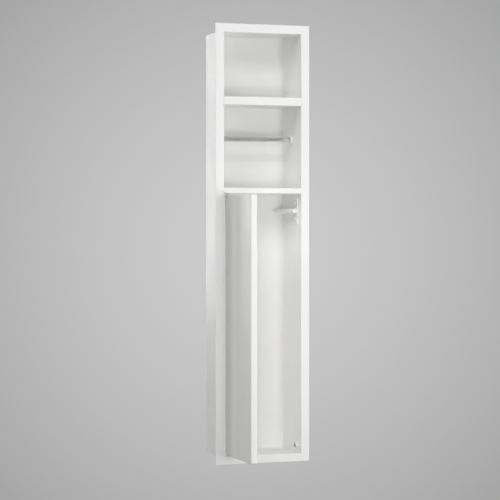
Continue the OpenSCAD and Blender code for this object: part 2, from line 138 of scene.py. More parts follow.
class SheetSettings(bpy.types.PropertyGroup):
    """Sizes of the folded sheets' edges and bends"""
    sheet: length_setting(
        "Body sheet", "Thickness of the body's sheets", extent("back_panel").y, 0.0005, 0.004)
    shelf_sheet: length_setting(
        "Shelf sheet", "Thickness of the shelves' sheets", 1.5 * MM, 0.0005, 0.003)
    door_sheet: length_setting(
        "Door sheet", "Thickness of the door pan's sheet", 1.5 * MM, 0.0005, 0.003)
    rear_bend: length_setting(
        "Rear bend", "Outer radius of the bend at the rear of the top and bottom panels",
        5 * MM, 0.001, 0.01)
    shelf_bend: length_setting(
        "Shelf bend", "Outer radius of the bends along the front of the shelves", 2.4 * MM, 0.001, 0.006)
    bend_steps: bpy.props.IntProperty(
        name="Bend steps", description="Flat strips that make up each bend", default=8, min=2, max=24)
    flange_edge: length_setting(
        "Flange edge", "Rounding of the flange's edges round the opening", 1.4 * MM, 0.0001, 0.0015)
    door_edge: length_setting(
        "Door edge", "Rounding of the door pan's top and bottom edges", 2.2 * MM, 0.0001, 0.003)
    hinge_bend: length_setting(
        "Hinge side bend", "Outer radius of the door pan's corners at its pivots", 2.6 * MM, 0.001, 0.004)
    free_bend: length_setting(
        "Free side bend", "Outer radius of the door pan's corners at its free side", 1.6 * MM, 0.001, 0.003)
    flange_corner: length_setting(
        "Flange corner", "Radius of the flange's outer corners", 1.2 * MM, 0.0005, 0.01)
    cut_edge: length_setting(
        "Cut edge", "Rounding of the coated cut edges", 0.3 * MM, 0.0001, 0.001)


class FittingSettings(bpy.types.PropertyGroup):
    """Sizes of the turned and moulded fittings' details"""
    moulded_edge: length_setting(
        "Moulded edge", "Rounding of the moulded parts' edges", 0.45 * MM, 0.0001, 0.001)
    turned_edge: length_setting(
        "Turned edge", "Rounding of the turned parts' edges", 0.3 * MM, 0.0001, 0.001)
    socket_size: length_setting(
        "Socket size", "Width across the flats of the screws' hexagon sockets", 2.4 * MM, 0.001, 0.004)
    socket_depth: length_setting(
        "Socket depth", "Depth of the screws' hexagon sockets", 0.9 * MM, 0.0003, 0.002)
    latch_wire: length_setting(
        "Spring wire", "Diameter of the springs' wire", 0.6 * MM, 0.0003, 0.001)
    latch_coils: bpy.props.IntProperty(
        name="Latch coils", description="Coils of the latch's spring", default=14, min=4, max=40)
    rod_coils: bpy.props.IntProperty(
        name="Rod coils", description="Coils of the roll rod's spring", default=13, min=4, max=40)


class FinishSettings(bpy.types.PropertyGroup):
    """Colours and grain of the finishes"""
    coat_colour: colour_setting(
        "Powder coat", "Colour of the powder-coated sheets", (0.935, 0.933, 0.926))
    plastic_colour: colour_setting(
        "White plastic", "Colour of the moulded plastic fittings", (0.90, 0.90, 0.89))
    nylon_colour: colour_setting(
        "Nylon", "Colour of the pivot blocks and washer", (0.80, 0.79, 0.74))
    tube_colour: colour_setting(
        "Polished steel", "Colour of the roll rod", (0.75, 0.76, 0.77))
    zinc_colour: colour_setting(
        "Zinc", "Colour of the plated pivots and screws", (0.62, 0.63, 0.64))
    # Near-black, which makes the dark spot at the door stop's end, inside the post's pocket
    dark_colour: colour_setting(
        "Dark steel", "Colour of the door stop's blackened screw", (0.05, 0.05, 0.055))
    wire_colour: colour_setting(
        "Spring wire", "Colour of the drawn spring wire", (0.50, 0.51, 0.52))
    coat_grain: length_setting(
        "Coat grain", "Width of the dimples in the powder coat", 1.3 * MM, 0.0003, 0.005)


class StageSettings(bpy.types.PropertyGroup):
    """Light, floor and background"""
    right_light: power_setting(
        "Right lamp", "Power of the lamp at the right, which makes the door's shadow", 22.5)
    front_light: power_setting(
        "Front lamps", "Power of the two lamps in front, which light the compartments", 8.0)
    left_light: power_setting(
        "Left lamps", "Power of the three high lamps at the left", 30.0)
    rear_light: power_setting(
        "Rear lamps", "Power of the four lamps behind the cabinet", 35.0)
    ambient: bpy.props.FloatProperty(
        name="Ambient", description="Strength of the even light from all round", default=0.07, min=0, max=2)
    backdrop: bpy.props.FloatProperty(
        name="Backdrop", description="Brightness of the grey background", default=0.386, min=0, max=1)
    glow: bpy.props.FloatProperty(
        name="Glow", description="How much brighter the background is behind the cabinet",
        default=0.22, min=0, max=1)
    floor_drop: length_setting(
        "Floor", "Distance from the cabinet's middle down to the floor", 1.6, 0.5, 3)


GROUPS = {
    "roll_sheet": SheetSettings,
    "roll_fitting": FittingSettings,
    "roll_finish": FinishSettings,
    "roll_stage": StageSettings,
}


# Node trees

def joined(tree, kind, inputs=None, **settings):
    """Adds a node, sets or links its inputs, and gives it back"""
    made = tree.nodes.new(kind)
    for key, value in settings.items():
        setattr(made, key, value)
    for key, value in (inputs or {}).items():
        socket = made.inputs[key]
        if isinstance(value, bpy.types.NodeSocket):
            tree.links.new(value, socket)
        elif isinstance(value, bpy.types.Node):
            tree.links.new(value.outputs[0], socket)
        else:
            socket.default_value = value
    return made


def new_tree(name, kind, inputs, outputs):
    """A node group with named sockets, what its input node gives and what its output node takes"""
    tree = bpy.data.node_groups.new(name, kind)
    for direction, sockets in (("INPUT", inputs), ("OUTPUT", outputs)):
        for label, kind_of, *default in sockets:
            socket = tree.interface.new_socket(
                name=label, in_out=direction, socket_type="NodeSocket" + kind_of)
            if default:
                socket.default_value = default[0]
    return tree, tree.nodes.new("NodeGroupInput").outputs, tree.nodes.new("NodeGroupOutput").inputs


def put_out(tree, out, **results):
    """Links nodes, or their outputs, to the tree's own outputs"""
    for label, result in results.items():
        tree.links.new(result if isinstance(result, bpy.types.NodeSocket) else result.outputs[0], out[label])
    return tree


def maths(tree, operation, *values, clamp=False):
    return joined(tree, "ShaderNodeMath", dict(enumerate(values)), operation=operation, use_clamp=clamp)


def noise(tree, vector, scale, detail, **more):
    return joined(tree, "ShaderNodeTexNoise", {"Vector": vector, "Scale": scale, "Detail": detail, **more})


def remapped(tree, value, start, end, **settings):
    """Node that turns the range start into the range end"""
    return joined(tree, "ShaderNodeMapRange", {
        "Value": value, "From Min": start[0], "From Max": start[1], "To Min": end[0], "To Max": end[1]},
        **settings)


def blended(tree, factor, first, second):
    """Output of a node that blends two colours, each a colour or another node's output"""
    blend = joined(tree, "ShaderNodeMix", data_type="RGBA")
    tree.links.new(factor, blend.inputs["Factor"])
    sockets = [socket for socket in blend.inputs if socket.type == "RGBA"]
    for socket, value in zip(sockets, (first, second)):
        if isinstance(value, bpy.types.NodeSocket):
            tree.links.new(value, socket)
        else:
            socket.default_value = value
    return next(socket for socket in blend.outputs if socket.type == "RGBA")


def set_input(modifier, label, value):
    """Sets a modifier's input by its socket's identifier"""
    for item in modifier.node_group.interface.items_tree:
        if item.item_type == "SOCKET" and item.in_out == "INPUT" and item.name == label:
            modifier[item.identifier] = value
            return
    raise ValueError(f"{modifier.node_group.name} has no input named {label}")


# Finishes

def coat_grain_group():
    """Dimples of a sprayed or moulded skin, with slow clouds over the whole surface"""
    tree, given, out = new_tree(
        "coat_grain", "ShaderNodeTree",
        [("Vector", "Vector"), ("Grain", "Float", 1.3 * MM),
         ("Cloud", "Float", 60 * MM)],
        [("Height", "Float"), ("Clouds", "Float")])
    dimples = noise(tree, given["Vector"], maths(tree, "DIVIDE", 1.0, given["Grain"]), 1.5, Roughness=0.45)
    waves = noise(tree, given["Vector"], maths(tree, "DIVIDE", 0.22, given["Grain"]), 1.0)
    clouds = noise(tree, given["Vector"], maths(tree, "DIVIDE", 1.0, given["Cloud"]), 3.0, Roughness=0.55)
    height = maths(tree, "MULTIPLY_ADD", waves, 0.8, dimples)
    return put_out(tree, out, Height=height, Clouds=clouds)


def edge_wear_and_highlight_group():
    """Mask that is 1 on outer edges, broken up by a fine grain, used for edge wear and for a painted edge
    highlight
    """
    tree, given, out = new_tree(
        "edge_wear_and_highlight", "ShaderNodeTree",
        [("Vector", "Vector"), ("Radius", "Float", 0.8 * MM),
         ("Amount", "Float", 1.0)],
        [("Mask", "Float")])
    softened = joined(tree, "ShaderNodeBevel", {"Radius": given["Radius"]}, samples=4)
    flat = tree.nodes.new("ShaderNodeNewGeometry")
    facing = joined(tree, "ShaderNodeVectorMath", {0: softened.outputs[0], 1: flat.outputs["Normal"]},
                    operation="DOT_PRODUCT")
    edge = remapped(tree, facing.outputs["Value"], (0.995, 0.86), (0.0, 1.0))
    specks = noise(tree, given["Vector"], 420.0, 2.0)
    broken = remapped(tree, specks, (0.35, 0.65), (0.35, 1.0))
    mask = maths(tree, "MULTIPLY", edge, broken)
    mask = maths(tree, "MULTIPLY", mask, given["Amount"], clamp=True)
    return put_out(tree, out, Mask=mask)


def drawn_lines_group():
    """Fine lines along one direction, as turning, drawing or brushing leaves them"""
    tree, given, out = new_tree(
        "drawn_lines", "ShaderNodeTree",
        [("Vector", "Vector"), ("Stretch", "Vector", (20.0, 1500.0, 1500.0))],
        [("Height", "Float"), ("Clouds", "Float")])
    lengthened = joined(tree, "ShaderNodeVectorMath",
                        {0: given["Vector"], 1: given["Stretch"]}, operation="MULTIPLY")
    lines = noise(tree, lengthened, 1.0, 3.0)
    clouds = noise(tree, given["Vector"], 70.0, 2.0)
    return put_out(tree, out, Height=lines, Clouds=clouds)


EFFECTS = {}


def effect(name):
    """The shared shader group of that name, built once"""
    makers = {"coat_grain": coat_grain_group, "edge_wear_and_highlight": edge_wear_and_highlight_group,
              "drawn_lines": drawn_lines_group}
    if name not in EFFECTS:
        EFFECTS[name] = makers[name]()
    return EFFECTS[name]


def shade(colour, factor):
    """The colour times a factor, with full alpha"""
    return tuple(min(1.0, channel * factor) for channel in colour) + (1.0,)


def finish_material(name, colour, texture, texture_inputs, roughness, relief, metal=0.0,
                    edge_factor=1.03, cloud_factor=0.985):
    """A finish whose colour, gloss and relief come from the shared effects"""
    material = bpy.data.materials.new(name)
    material.use_nodes = True
    material.diffuse_color = shade(colour, 1.0)
    tree = material.node_tree
    shader = tree.nodes["Principled BSDF"]
    place = tree.nodes.new("ShaderNodeTexCoord").outputs["Object"]
    surface = joined(tree, "ShaderNodeGroup", node_tree=effect(texture))
    tree.links.new(place, surface.inputs["Vector"])
    for label, value in texture_inputs.items():
        surface.inputs[label].default_value = value
    wear_and_highlight = joined(tree, "ShaderNodeGroup", node_tree=effect("edge_wear_and_highlight"))
    tree.links.new(place, wear_and_highlight.inputs["Vector"])
    spread = remapped(tree, surface.outputs["Clouds"], (0.35, 0.65), (0.0, 1.0))
    tinted = blended(tree, spread.outputs[0], shade(colour, cloud_factor), shade(colour, 1.0))
    # Outer edges lightened by edge_factor: rubbed wear on the metals, and a painted edge highlight on the coat,
    # plastic and nylon
    worn_and_lit = blended(tree, wear_and_highlight.outputs["Mask"], tinted, shade(colour, edge_factor))
    tree.links.new(worn_and_lit, shader.inputs["Base Color"])
    gloss = remapped(tree, spread, (0.0, 1.0), roughness)
    polished = maths(tree, "MULTIPLY_ADD", wear_and_highlight.outputs["Mask"], -0.06, gloss)
    tree.links.new(polished.outputs[0], shader.inputs["Roughness"])
    bump = joined(tree, "ShaderNodeBump", {
        "Strength": 1.0, "Distance": relief, "Height": surface.outputs["Height"]})
    tree.links.new(bump.outputs[0], shader.inputs["Normal"])
    shader.inputs["Metallic"].default_value = metal
    return material


FINISHES = {}


def finish(slot):
    """The material of one of the record's slots, built once"""
    if slot in FINISHES:
        return FINISHES[slot]
    look = bpy.context.scene.roll_finish
    grain = {"Grain": look.coat_grain}
    fine = {"Grain": 0.6 * MM, "Cloud": 25 * MM}

    def metal(colour, stretch, roughness, relief, edge_factor, cloud_factor):
        return (colour, "drawn_lines", {"Stretch": stretch}, roughness, relief,
                {"metal": 1.0, "edge_factor": edge_factor, "cloud_factor": cloud_factor})

    # edge_factor lightens the edges: a painted highlight on the coat, plastic and nylon (default 1.03), rubbed
    # wear on the metals
    recipes = {
        "white_powder_coat": (look.coat_colour, "coat_grain", grain, (0.36, 0.46), 0.018 * MM, {}),
        "white_plastic": (look.plastic_colour, "coat_grain", fine, (0.28, 0.38), 0.006 * MM, {}),
        "nylon": (look.nylon_colour, "coat_grain", fine, (0.45, 0.6), 0.012 * MM, {"cloud_factor": 0.96}),
        "polished_steel": metal(
            look.tube_colour, (25.0, 1800.0, 1800.0), (0.10, 0.20), 0.002 * MM, 1.15, 0.97),
        "zinc_steel": metal(look.zinc_colour, (1400.0, 1400.0, 60.0), (0.26, 0.42), 0.004 * MM, 1.25, 0.9),
        "dark_steel": metal(look.dark_colour, (60.0, 1400.0, 1400.0), (0.30, 0.45), 0.004 * MM, 1.9, 0.85),
        "spring_steel": metal(look.wire_colour, (900.0, 900.0, 900.0), (0.25, 0.36), 0.003 * MM, 1.2, 0.9),
    }
    colour, texture, inputs, roughness, relief, more = recipes[slot]
    FINISHES[slot] = finish_material(slot, tuple(colour), texture, inputs, roughness, relief, **more)
    return FINISHES[slot]


# Making and settling pieces

def linked(name, mesh):
    made = bpy.data.objects.new(name, mesh)
    bpy.context.scene.collection.objects.link(made)
    return made


def made_plain(piece):
    """Turns the piece's modifiers into its mesh"""
    depsgraph = bpy.context.evaluated_depsgraph_get()
    depsgraph.update()
    final = bpy.data.meshes.new_from_object(
        piece.evaluated_get(depsgraph), preserve_all_data_layers=True, depsgraph=depsgraph)
    raw = piece.data
    piece.modifiers.clear()
    piece.data = final
    bpy.data.meshes.remove(raw)
    final.name = piece.name
    return piece


def edit_mesh(piece, change):
    """Runs a change on the piece's mesh through bmesh"""
    bm = bmesh.new()
    bm.from_mesh(piece.data)
    change(bm)
    bm.to_mesh(piece.data)
    bm.free()


def welded(bm):
    bmesh.ops.remove_doubles(bm, verts=bm.verts, dist=WELD_GAP)
    bmesh.ops.recalc_face_normals(bm, faces=bm.faces)


def eased_edges(piece, width, segments=3, where=None):
    """Rounds the sharp edges, or only those whose middle passes the test, and shades the piece smooth"""
    def weigh(bm):
        layer = bm.edges.layers.float.new("bevel_weight_edge")
        for edge in bm.edges:
            hard = edge.is_manifold and edge.calc_face_angle() > math.radians(40)
            a, b = (vert.co for vert in edge.verts)
            edge[layer] = float(hard and (where is None or where((a + b) / 2)))
        for face in bm.faces:
            face.smooth = True

    edit_mesh(piece, weigh)
    bevel = piece.modifiers.new("eased", "BEVEL")
    bevel.limit_method = "WEIGHT"
    bevel.width = width
    bevel.segments = segments
    made_plain(piece)
    return shaded(piece)


def shaded(piece, sharp=40):
    """Smooth shading that keeps large faces flat and sharp edges sharp"""
    piece.data.shade_smooth()
    piece.data.set_sharp_from_angle(angle=math.radians(sharp))
    weighted = piece.modifiers.new("shading", "WEIGHTED_NORMAL")
    weighted.keep_sharp = True
    weighted.weight = 80
    return made_plain(piece)


def settled(piece, *nodes):
    """The finished piece takes over from its nodes, on their body and with their slot"""
    piece.data.materials.clear()
    piece.data.materials.append(finish(SLOT_OF[nodes[0]]))
    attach(piece, BODY_OF[nodes[0]])
    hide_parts(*nodes)
    return piece


def from_bmesh(name, bm):
    """New piece of a finished bmesh"""
    welded(bm)
    mesh = bpy.data.meshes.new(name)
    bm.to_mesh(mesh)
    bm.free()
    return linked(name, mesh)


def quarter(share):
    """Cosine and sine part way through a quarter turn"""
    return math.cos(share * math.pi / 2), math.sin(share * math.pi / 2)


def outline(sides, grown_by, bends, steps=8):
    """Rectangle (left, bottom, right, top) moved outwards all round, with the corners' radii before that"""
    left, bottom, right, top = sides
    points = []
    corners = ((left, top, 1, -1), (left, bottom, 1, 1), (right, bottom, -1, 1), (right, top, -1, -1))
    for (x, y, inwards, upwards), bend in zip(corners, bends):
        radius = max(bend + grown_by, 0) if bend else 0
        x, y = x - inwards * grown_by, y - upwards * grown_by
        for step in range(steps + 1):
            cosine, sine = quarter((len(points) // (steps + 1)) + 1 + step / steps)
            points.append((x + radius * (inwards + cosine), y + radius * (upwards + sine)))
    return points


def lofted(name, rings, closed=False):
    """Skin over outlines of equal length. A closed one joins the last to the first, and others are capped."""
    bm = bmesh.new()
    rings = [[bm.verts.new(point) for point in ring] for ring in rings]
    for lower, upper in zip(rings, rings[1:] + rings[:1] if closed else rings[1:]):
        for i in range(len(lower)):
            j = (i + 1) % len(lower)
            bm.faces.new((lower[i], lower[j], upper[j], upper[i]))
    if not closed:
        bm.faces.new(rings[0])
        bm.faces.new(rings[-1])
    return from_bmesh(name, bm)


def hollowed(piece, *cutters):
    """Takes the cutters out of the piece, and removes them"""
    for cutter in cutters:
        cut = piece.modifiers.new("hollow", "BOOLEAN")
        cut.operation = "DIFFERENCE"
        cut.solver = "EXACT"
        cut.object = cutter
    made_plain(piece)
    for cutter in cutters:
        mesh = cutter.data
        bpy.data.objects.remove(cutter)
        bpy.data.meshes.remove(mesh)
    return piece


def swung(piece, angle):
    """Turns the piece's mesh about the door's pivots"""
    piece.data.transform(door_turn(angle))
    return piece


def node_copy(name, node):
    """A clean copy of a node's mesh, with its flat faces whole again"""
    piece = linked(name, frame["nodes"][node].data.copy())
    piece.data.materials.clear()

    def clean(bm):
        welded(bm)
        bmesh.ops.dissolve_limit(bm, angle_limit=math.radians(0.4), verts=bm.verts, edges=bm.edges)

    edit_mesh(piece, clean)
    return piece


def eased_copy(name, node, width, **easing):
    """A node's copy with rounded edges. The door's pieces are worked on at a right angle to the flange."""
    on_door = BODY_OF[node] == "door"
    piece = node_copy(name, node)
    if on_door:
        swung(piece, PAST_SQUARE)
    eased_edges(piece, width, **easing)
    if on_door:
        swung(piece, -PAST_SQUARE)
    settled(piece, node)


# Turned parts

AXES = {
    "+X": Matrix(((0, 0, 1), (1, 0, 0), (0, 1, 0))),
    "-X": Matrix(((0, 0, -1), (-1, 0, 0), (0, 1, 0))),
    "+Y": Matrix(((0, 1, 0), (0, 0, 1), (1, 0, 0))),
    "-Y": Matrix(((0, 1, 0), (0, 0, -1), (-1, 0, 0))),
    "+Z": Matrix(((1, 0, 0), (0, 1, 0), (0, 0, 1))),
    "-Z": Matrix(((0, 1, 0), (1, 0, 0), (0, 0, -1))),
}


def eased_profile(points, closed, steps=4):
    """Profile points (along, radius, rounding) with each corner turned into an arc"""
    rings = []
    count = len(points)
    for i, (along, radius, *rounding) in enumerate(points):
        here = Vector((along, radius))
        if not rounding or (not closed and i in (0, count - 1)):
            rings.append((along, radius, ROUND))
            continue
        before = Vector(points[i - 1][:2]) - here
        after = Vector(points[(i + 1) % count][:2]) - here
        half = before.angle(after) / 2
        reach = min(rounding[0] / math.tan(half), 0.48 * before.length, 0.48 * after.length)
        arc = reach * math.tan(half)
        centre = here + (before.normalized() + after.normalized()).normalized() * (arc / math.sin(half))
        start = here + before.normalized() * reach - centre
        end = here + after.normalized() * reach - centre
        turn = start.angle_signed(end)
        for step in range(steps + 1):
            spoke = Matrix.Rotation(-turn * step / steps, 2) @ start
            rings.append((*(centre + spoke), ROUND))
    return rings


def ring_radius(radius, corners, angle):
    """Distance from the axis to a round or a hexagonal ring at an angle"""
    if corners == ROUND:
        return radius
    sector = 2 * math.pi / corners
    return radius / math.cos((angle + sector / 2) % sector - sector / 2)


def turned(name, origin, axis, points, closed=False, sides=72, extra=()):
    """A part turned about an axis through origin. A closed profile makes a ring-shaped part."""
    turn = AXES[axis]
    bm = bmesh.new()
    rings = []
    for along, radius, corners in [*eased_profile(points, closed), *extra]:
        if radius < 1e-7:
            rings.append([bm.verts.new(origin + turn @ Vector((0, 0, along)))])
            continue
        ring = []
        for i in range(sides):
            angle = 2 * math.pi * i / sides
            r = ring_radius(radius, corners, angle)
            place = Vector((r * math.cos(angle), r * math.sin(angle), along))
            ring.append(bm.verts.new(origin + turn @ place))
        rings.append(ring)
    pairs = list(zip(rings, rings[1:])) + ([(rings[-1], rings[0])] if closed else [])
    for a, b in pairs:
        for i in range(sides if len(a) + len(b) > 2 else 0):
            j = (i + 1) % sides
            corners = [a[i % len(a)], a[j % len(a)], b[j % len(b)], b[i % len(b)]]
            bm.faces.new(list(dict.fromkeys(corners)))
    return shaded(from_bmesh(name, bm), sharp=50)


def hexagon_socket(fitting, top, lip):
    """Rings that sink a hexagon socket in a screw's head, from a narrow lip at its mouth"""
    across, floor = fitting.socket_size / 2, top - fitting.socket_depth
    return [(top - lip, across, HEX), (floor, across, HEX), (floor, 0, ROUND)]


# Geometry node trees

def ended(tree, geometry, given, out):
    """Ends a tree: real geometry in the material it is given"""
    real = joined(tree, "GeometryNodeRealizeInstances", {"Geometry": geometry})
    finished = joined(tree, "GeometryNodeSetMaterial", {"Geometry": real, "Material": given["Finish"]})
    tree.links.new(finished.outputs[0], out[0])
    return tree


def folded_sheet_tree():
    """A sheet that follows a bend line: rounded bends, its width along X, and an optional round hole"""
    tree, given, out = new_tree(
        "folded_sheet", "GeometryNodeTree",
        [("Bend line", "Geometry"), ("Thickness", "Float", 2 * MM),
         ("Width", "Float", 150 * MM), ("Bend radius", "Float", 4 * MM),
         ("Bend steps", "Int", 8), ("Hole", "Bool", False),
         ("Hole place", "Vector"), ("Hole radius", "Float", 3.7 * MM),
         ("Finish", "Material")],
        [("Sheet", "Geometry")])
    line = joined(tree, "GeometryNodeMeshToCurve", {"Mesh": given["Bend line"]})
    bent = joined(tree, "GeometryNodeFilletCurve", {
        "Curve": line, "Radius": given["Bend radius"], "Count": given["Bend steps"]}, mode="POLY")
    squared = joined(tree, "GeometryNodeSetCurveNormal", {"Curve": bent, "Normal": (1.0, 0.0, 0.0)},
                     mode="FREE")
    section = joined(tree, "GeometryNodeCurvePrimitiveQuadrilateral", {
        "Width": given["Width"], "Height": given["Thickness"]})
    sheet = joined(tree, "GeometryNodeCurveToMesh", {
        "Curve": squared, "Profile Curve": section, "Fill Caps": True})
    drill = joined(tree, "GeometryNodeMeshCylinder", {
        "Vertices": 64, "Radius": given["Hole radius"], "Depth": 0.02})
    drill = joined(tree, "GeometryNodeTransform", {
        "Geometry": drill.outputs["Mesh"], "Translation": given["Hole place"]})
    drilled = joined(tree, "GeometryNodeMeshBoolean", {"Mesh 1": sheet, "Mesh 2": drill},
                     operation="DIFFERENCE", solver="EXACT")
    chosen = joined(tree, "GeometryNodeSwitch", {
        "Switch": given["Hole"], "False": sheet, "True": drilled.outputs["Mesh"]}, input_type="GEOMETRY")
    return ended(tree, chosen, given, out)


def fastener_row_tree():
    """Copies of one fastener at equal steps, each turned a little differently about its own axis"""
    tree, given, out = new_tree(
        "fastener_row", "GeometryNodeTree",
        [("Fastener", "Geometry"), ("Count", "Int", 2), ("First place", "Vector"),
         ("Step", "Vector"), ("Facing", "Rotation"), ("Spread", "Float", 1.0),
         ("Seed", "Int", 3), ("Finish", "Material")],
        [("Row", "Geometry")])
    places = joined(tree, "GeometryNodeMeshLine", {
        "Count": given["Count"], "Start Location": given["First place"],
        "Offset": given["Step"]}, mode="OFFSET")
    chance = joined(tree, "FunctionNodeRandomValue", {"Seed": given["Seed"]}, data_type="FLOAT")
    own_turn = joined(tree, "ShaderNodeCombineXYZ", {
        "Z": maths(tree, "MULTIPLY", chance.outputs[1], given["Spread"])})
    own_turn = joined(tree, "FunctionNodeEulerToRotation", {"Euler": own_turn})
    facing = joined(tree, "FunctionNodeRotateRotation", {
        "Rotation": given["Facing"], "Rotate By": own_turn}, rotation_space="LOCAL")
    row = joined(tree, "GeometryNodeInstanceOnPoints", {
        "Points": places, "Instance": given["Fastener"], "Rotation": facing})
    return ended(tree, row, given, out)


def coil_spring_tree():
    """Wire wound on the points of a line: closed coils at both ends, even ones between, along +Z"""
    tree, given, out = new_tree(
        "coil_spring", "GeometryNodeTree",
        [("Line", "Geometry"), ("Coils", "Int", 12), ("Length", "Float", 30 * MM),
         ("Coil radius", "Float", 3.4 * MM), ("Wire", "Float", 0.6 * MM),
         ("Place", "Vector"), ("Facing", "Rotation"), ("Finish", "Material")],
        [("Spring", "Geometry")])
    coils, wire = given["Coils"], given["Wire"]
    count = maths(tree, "MULTIPLY_ADD", coils, COIL_STEPS, 1.0)
    points = joined(tree, "GeometryNodeMeshLine", {"Count": count, "Offset": (0.0, 0.0, 1.0)}, mode="OFFSET")
    turns = maths(tree, "DIVIDE", tree.nodes.new("GeometryNodeInputIndex"), COIL_STEPS)
    angle = maths(tree, "MULTIPLY", turns, 2 * math.pi)
    inner_turns = maths(tree, "SUBTRACT", coils, 2.0)
    first = maths(tree, "MINIMUM", turns, 1.0)
    past_first = maths(tree, "MAXIMUM", maths(tree, "SUBTRACT", turns, 1.0), 0.0)
    middle_part = maths(tree, "MINIMUM", past_first, inner_turns)
    last = maths(tree, "MAXIMUM", maths(tree, "SUBTRACT", turns, maths(tree, "SUBTRACT", coils, 1.0)), 0.0)
    free = maths(tree, "MULTIPLY_ADD", wire, -3.0, given["Length"])
    pitch = maths(tree, "DIVIDE", free, inner_turns)
    closed_part = maths(tree, "MULTIPLY", maths(tree, "ADD", first, last), wire)
    height = maths(tree, "MULTIPLY_ADD", middle_part, pitch, closed_part)
    height = maths(tree, "MULTIPLY_ADD", wire, 0.5, height)
    radius = given["Coil radius"]
    spot = joined(tree, "ShaderNodeCombineXYZ", {
        "X": maths(tree, "MULTIPLY", maths(tree, "COSINE", angle), radius),
        "Y": maths(tree, "MULTIPLY", maths(tree, "SINE", angle), radius), "Z": height})
    wound = joined(tree, "GeometryNodeSetPosition", {"Geometry": points, "Position": spot})
    curve = joined(tree, "GeometryNodeMeshToCurve", {"Mesh": wound})
    round_wire = joined(tree, "GeometryNodeCurvePrimitiveCircle", {
        "Resolution": 10, "Radius": maths(tree, "MULTIPLY", wire, 0.5)})
    body = joined(tree, "GeometryNodeCurveToMesh", {
        "Curve": curve, "Profile Curve": round_wire, "Fill Caps": True})
    smooth = joined(tree, "GeometryNodeSetShadeSmooth", {"Geometry": body})
    placed = joined(tree, "GeometryNodeTransform", {
        "Geometry": smooth, "Translation": given["Place"], "Rotation": given["Facing"]})
    return ended(tree, placed, given, out)


RULES = {}


def grown(name, mesh, rule, **inputs):
    """A piece that a geometry node tree makes out of a mesh, as one plain mesh"""
    makers = {"folded_sheet": folded_sheet_tree, "fastener_row": fastener_row_tree,
              "coil_spring": coil_spring_tree}
    if rule not in RULES:
        RULES[rule] = makers[rule]()
    piece = linked(name, mesh)
    modifier = piece.modifiers.new(rule, "NODES")
    modifier.node_group = RULES[rule]
    for label, value in inputs.items():
        set_input(modifier, label.replace("_", " "), value)
    made_plain(piece)
    edit_mesh(piece, welded)
    return piece


def line_mesh(name, points):
    mesh = bpy.data.meshes.new(name)
    mesh.from_pydata(points, [(i, i + 1) for i in range(len(points) - 1)], [])
    return mesh


# Operators

class BuildFlange(bpy.types.Operator):
    """Front flange with softly rounded edges"""
    bl_idname = "roll_cabinet.flange"
    bl_label = "Flange"

    def execute(self, context):
        sheet = context.scene.roll_sheet
        lowest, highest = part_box("front_frame")
        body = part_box("right_side_panel")
        opening = (-high("back_panel").x, low("bottom_panel").z + sheet.sheet,
                   high("back_panel").x, high("top_panel").z - sheet.sheet)
        seat = (-body[1].x, body[0].z, body[1].x, body[1].z)
        rim = (lowest.x, lowest.z, highest.x, highest.z)
        front, back, soft = lowest.y, highest.y, sheet.flange_edge
        edge, steps = soft * RIM_SHARE, 6
        arc = [quarter(step / steps) for step in range(steps + 1)]
        rings = [(opening, soft * (1 - c), front + soft * (1 - s)) for c, s in arc]
        rings += [(rim, -edge * (1 - s), front + edge * (1 - c)) for c, s in arc]
        rings += [(rim, -edge * (1 - c), back - edge * (1 - s)) for c, s in arc]
        rings += [(seat, 0, back), (seat, 0, body[0].y), (opening, 0, body[0].y)]
        piece = lofted("flange", [
            [Vector((x, y, z)) for x, z in outline(
                sides, grown_by, [sheet.flange_corner * (sides == rim)] * 4)]
            for sides, grown_by, y in rings], closed=True)
        settled(shaded(piece), "front_frame")
        return {"FINISHED"}


class BuildBodyPanels(bpy.types.Operator):
    """Side panels and back panel, eased only where their edges are open to view"""
    bl_idname = "roll_cabinet.body_panels"
    bl_label = "Side and back panels"

    def execute(self, context):
        sheet = context.scene.roll_sheet
        side_x, front_y = high("right_side_panel").x, low("back_panel").y - OPEN_REACH
        for name, node in (("left_side", "left_side_panel"), ("right_side", "right_side_panel")):
            eased_copy(name, node, sheet.cut_edge,
                       where=lambda p: abs(p.x) > side_x - WELD_GAP and p.y > front_y)
        eased_copy("back", "back_panel", sheet.cut_edge * 0.5, where=lambda p: p.y > -WELD_GAP)
        return {"FINISHED"}


class BuildFoldedSheets(bpy.types.Operator):
    """Top and bottom panels and both shelves, each folded from one sheet"""
    bl_idname = "roll_cabinet.folded_sheets"
    bl_label = "Folded sheets"

    def execute(self, context):
        sheet = context.scene.roll_sheet
        pivot = middle("lower_pivot_screw")
        for name, node, up in (("top", "top_panel", 1), ("bottom", "bottom_panel", -1)):
            lowest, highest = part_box(node)
            half = sheet.sheet / 2
            face = (highest.z if up > 0 else lowest.z) - up * half
            lip = lowest.z if up > 0 else highest.z
            line = [(0, lowest.y, face), (0, highest.y - half, face), (0, highest.y - half, lip)]
            self.fold(sheet, name, node, line, sheet.sheet, sheet.rear_bend, Hole=up < 0,
                      Hole_place=(pivot.x, pivot.y, face), Hole_radius=PIVOT_HOLE_R)
        for name, node in (("shelf_upper", "upper_shelf"), ("shelf_lower", "lower_shelf")):
            lowest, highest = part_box(node)
            half = sheet.shelf_sheet / 2
            line = [(0, highest.y, highest.z - half), (0, lowest.y + half, highest.z - half),
                    (0, lowest.y + half, lowest.z + half), (0, highest.y, lowest.z + half)]
            self.fold(sheet, name, node, line, sheet.shelf_sheet, sheet.shelf_bend)
        return {"FINISHED"}

    def fold(self, sheet, name, node, line, thickness, bend, **hole):
        """A sheet whose middle follows the line, with bends of that outer radius"""
        piece = grown(
            name, line_mesh(name, line), "folded_sheet", Thickness=thickness, Width=extent(node).x,
            Bend_radius=bend - thickness / 2, Bend_steps=sheet.bend_steps,
            Finish=finish(SLOT_OF[node]), **hole)
        settled(shaded(piece), node)


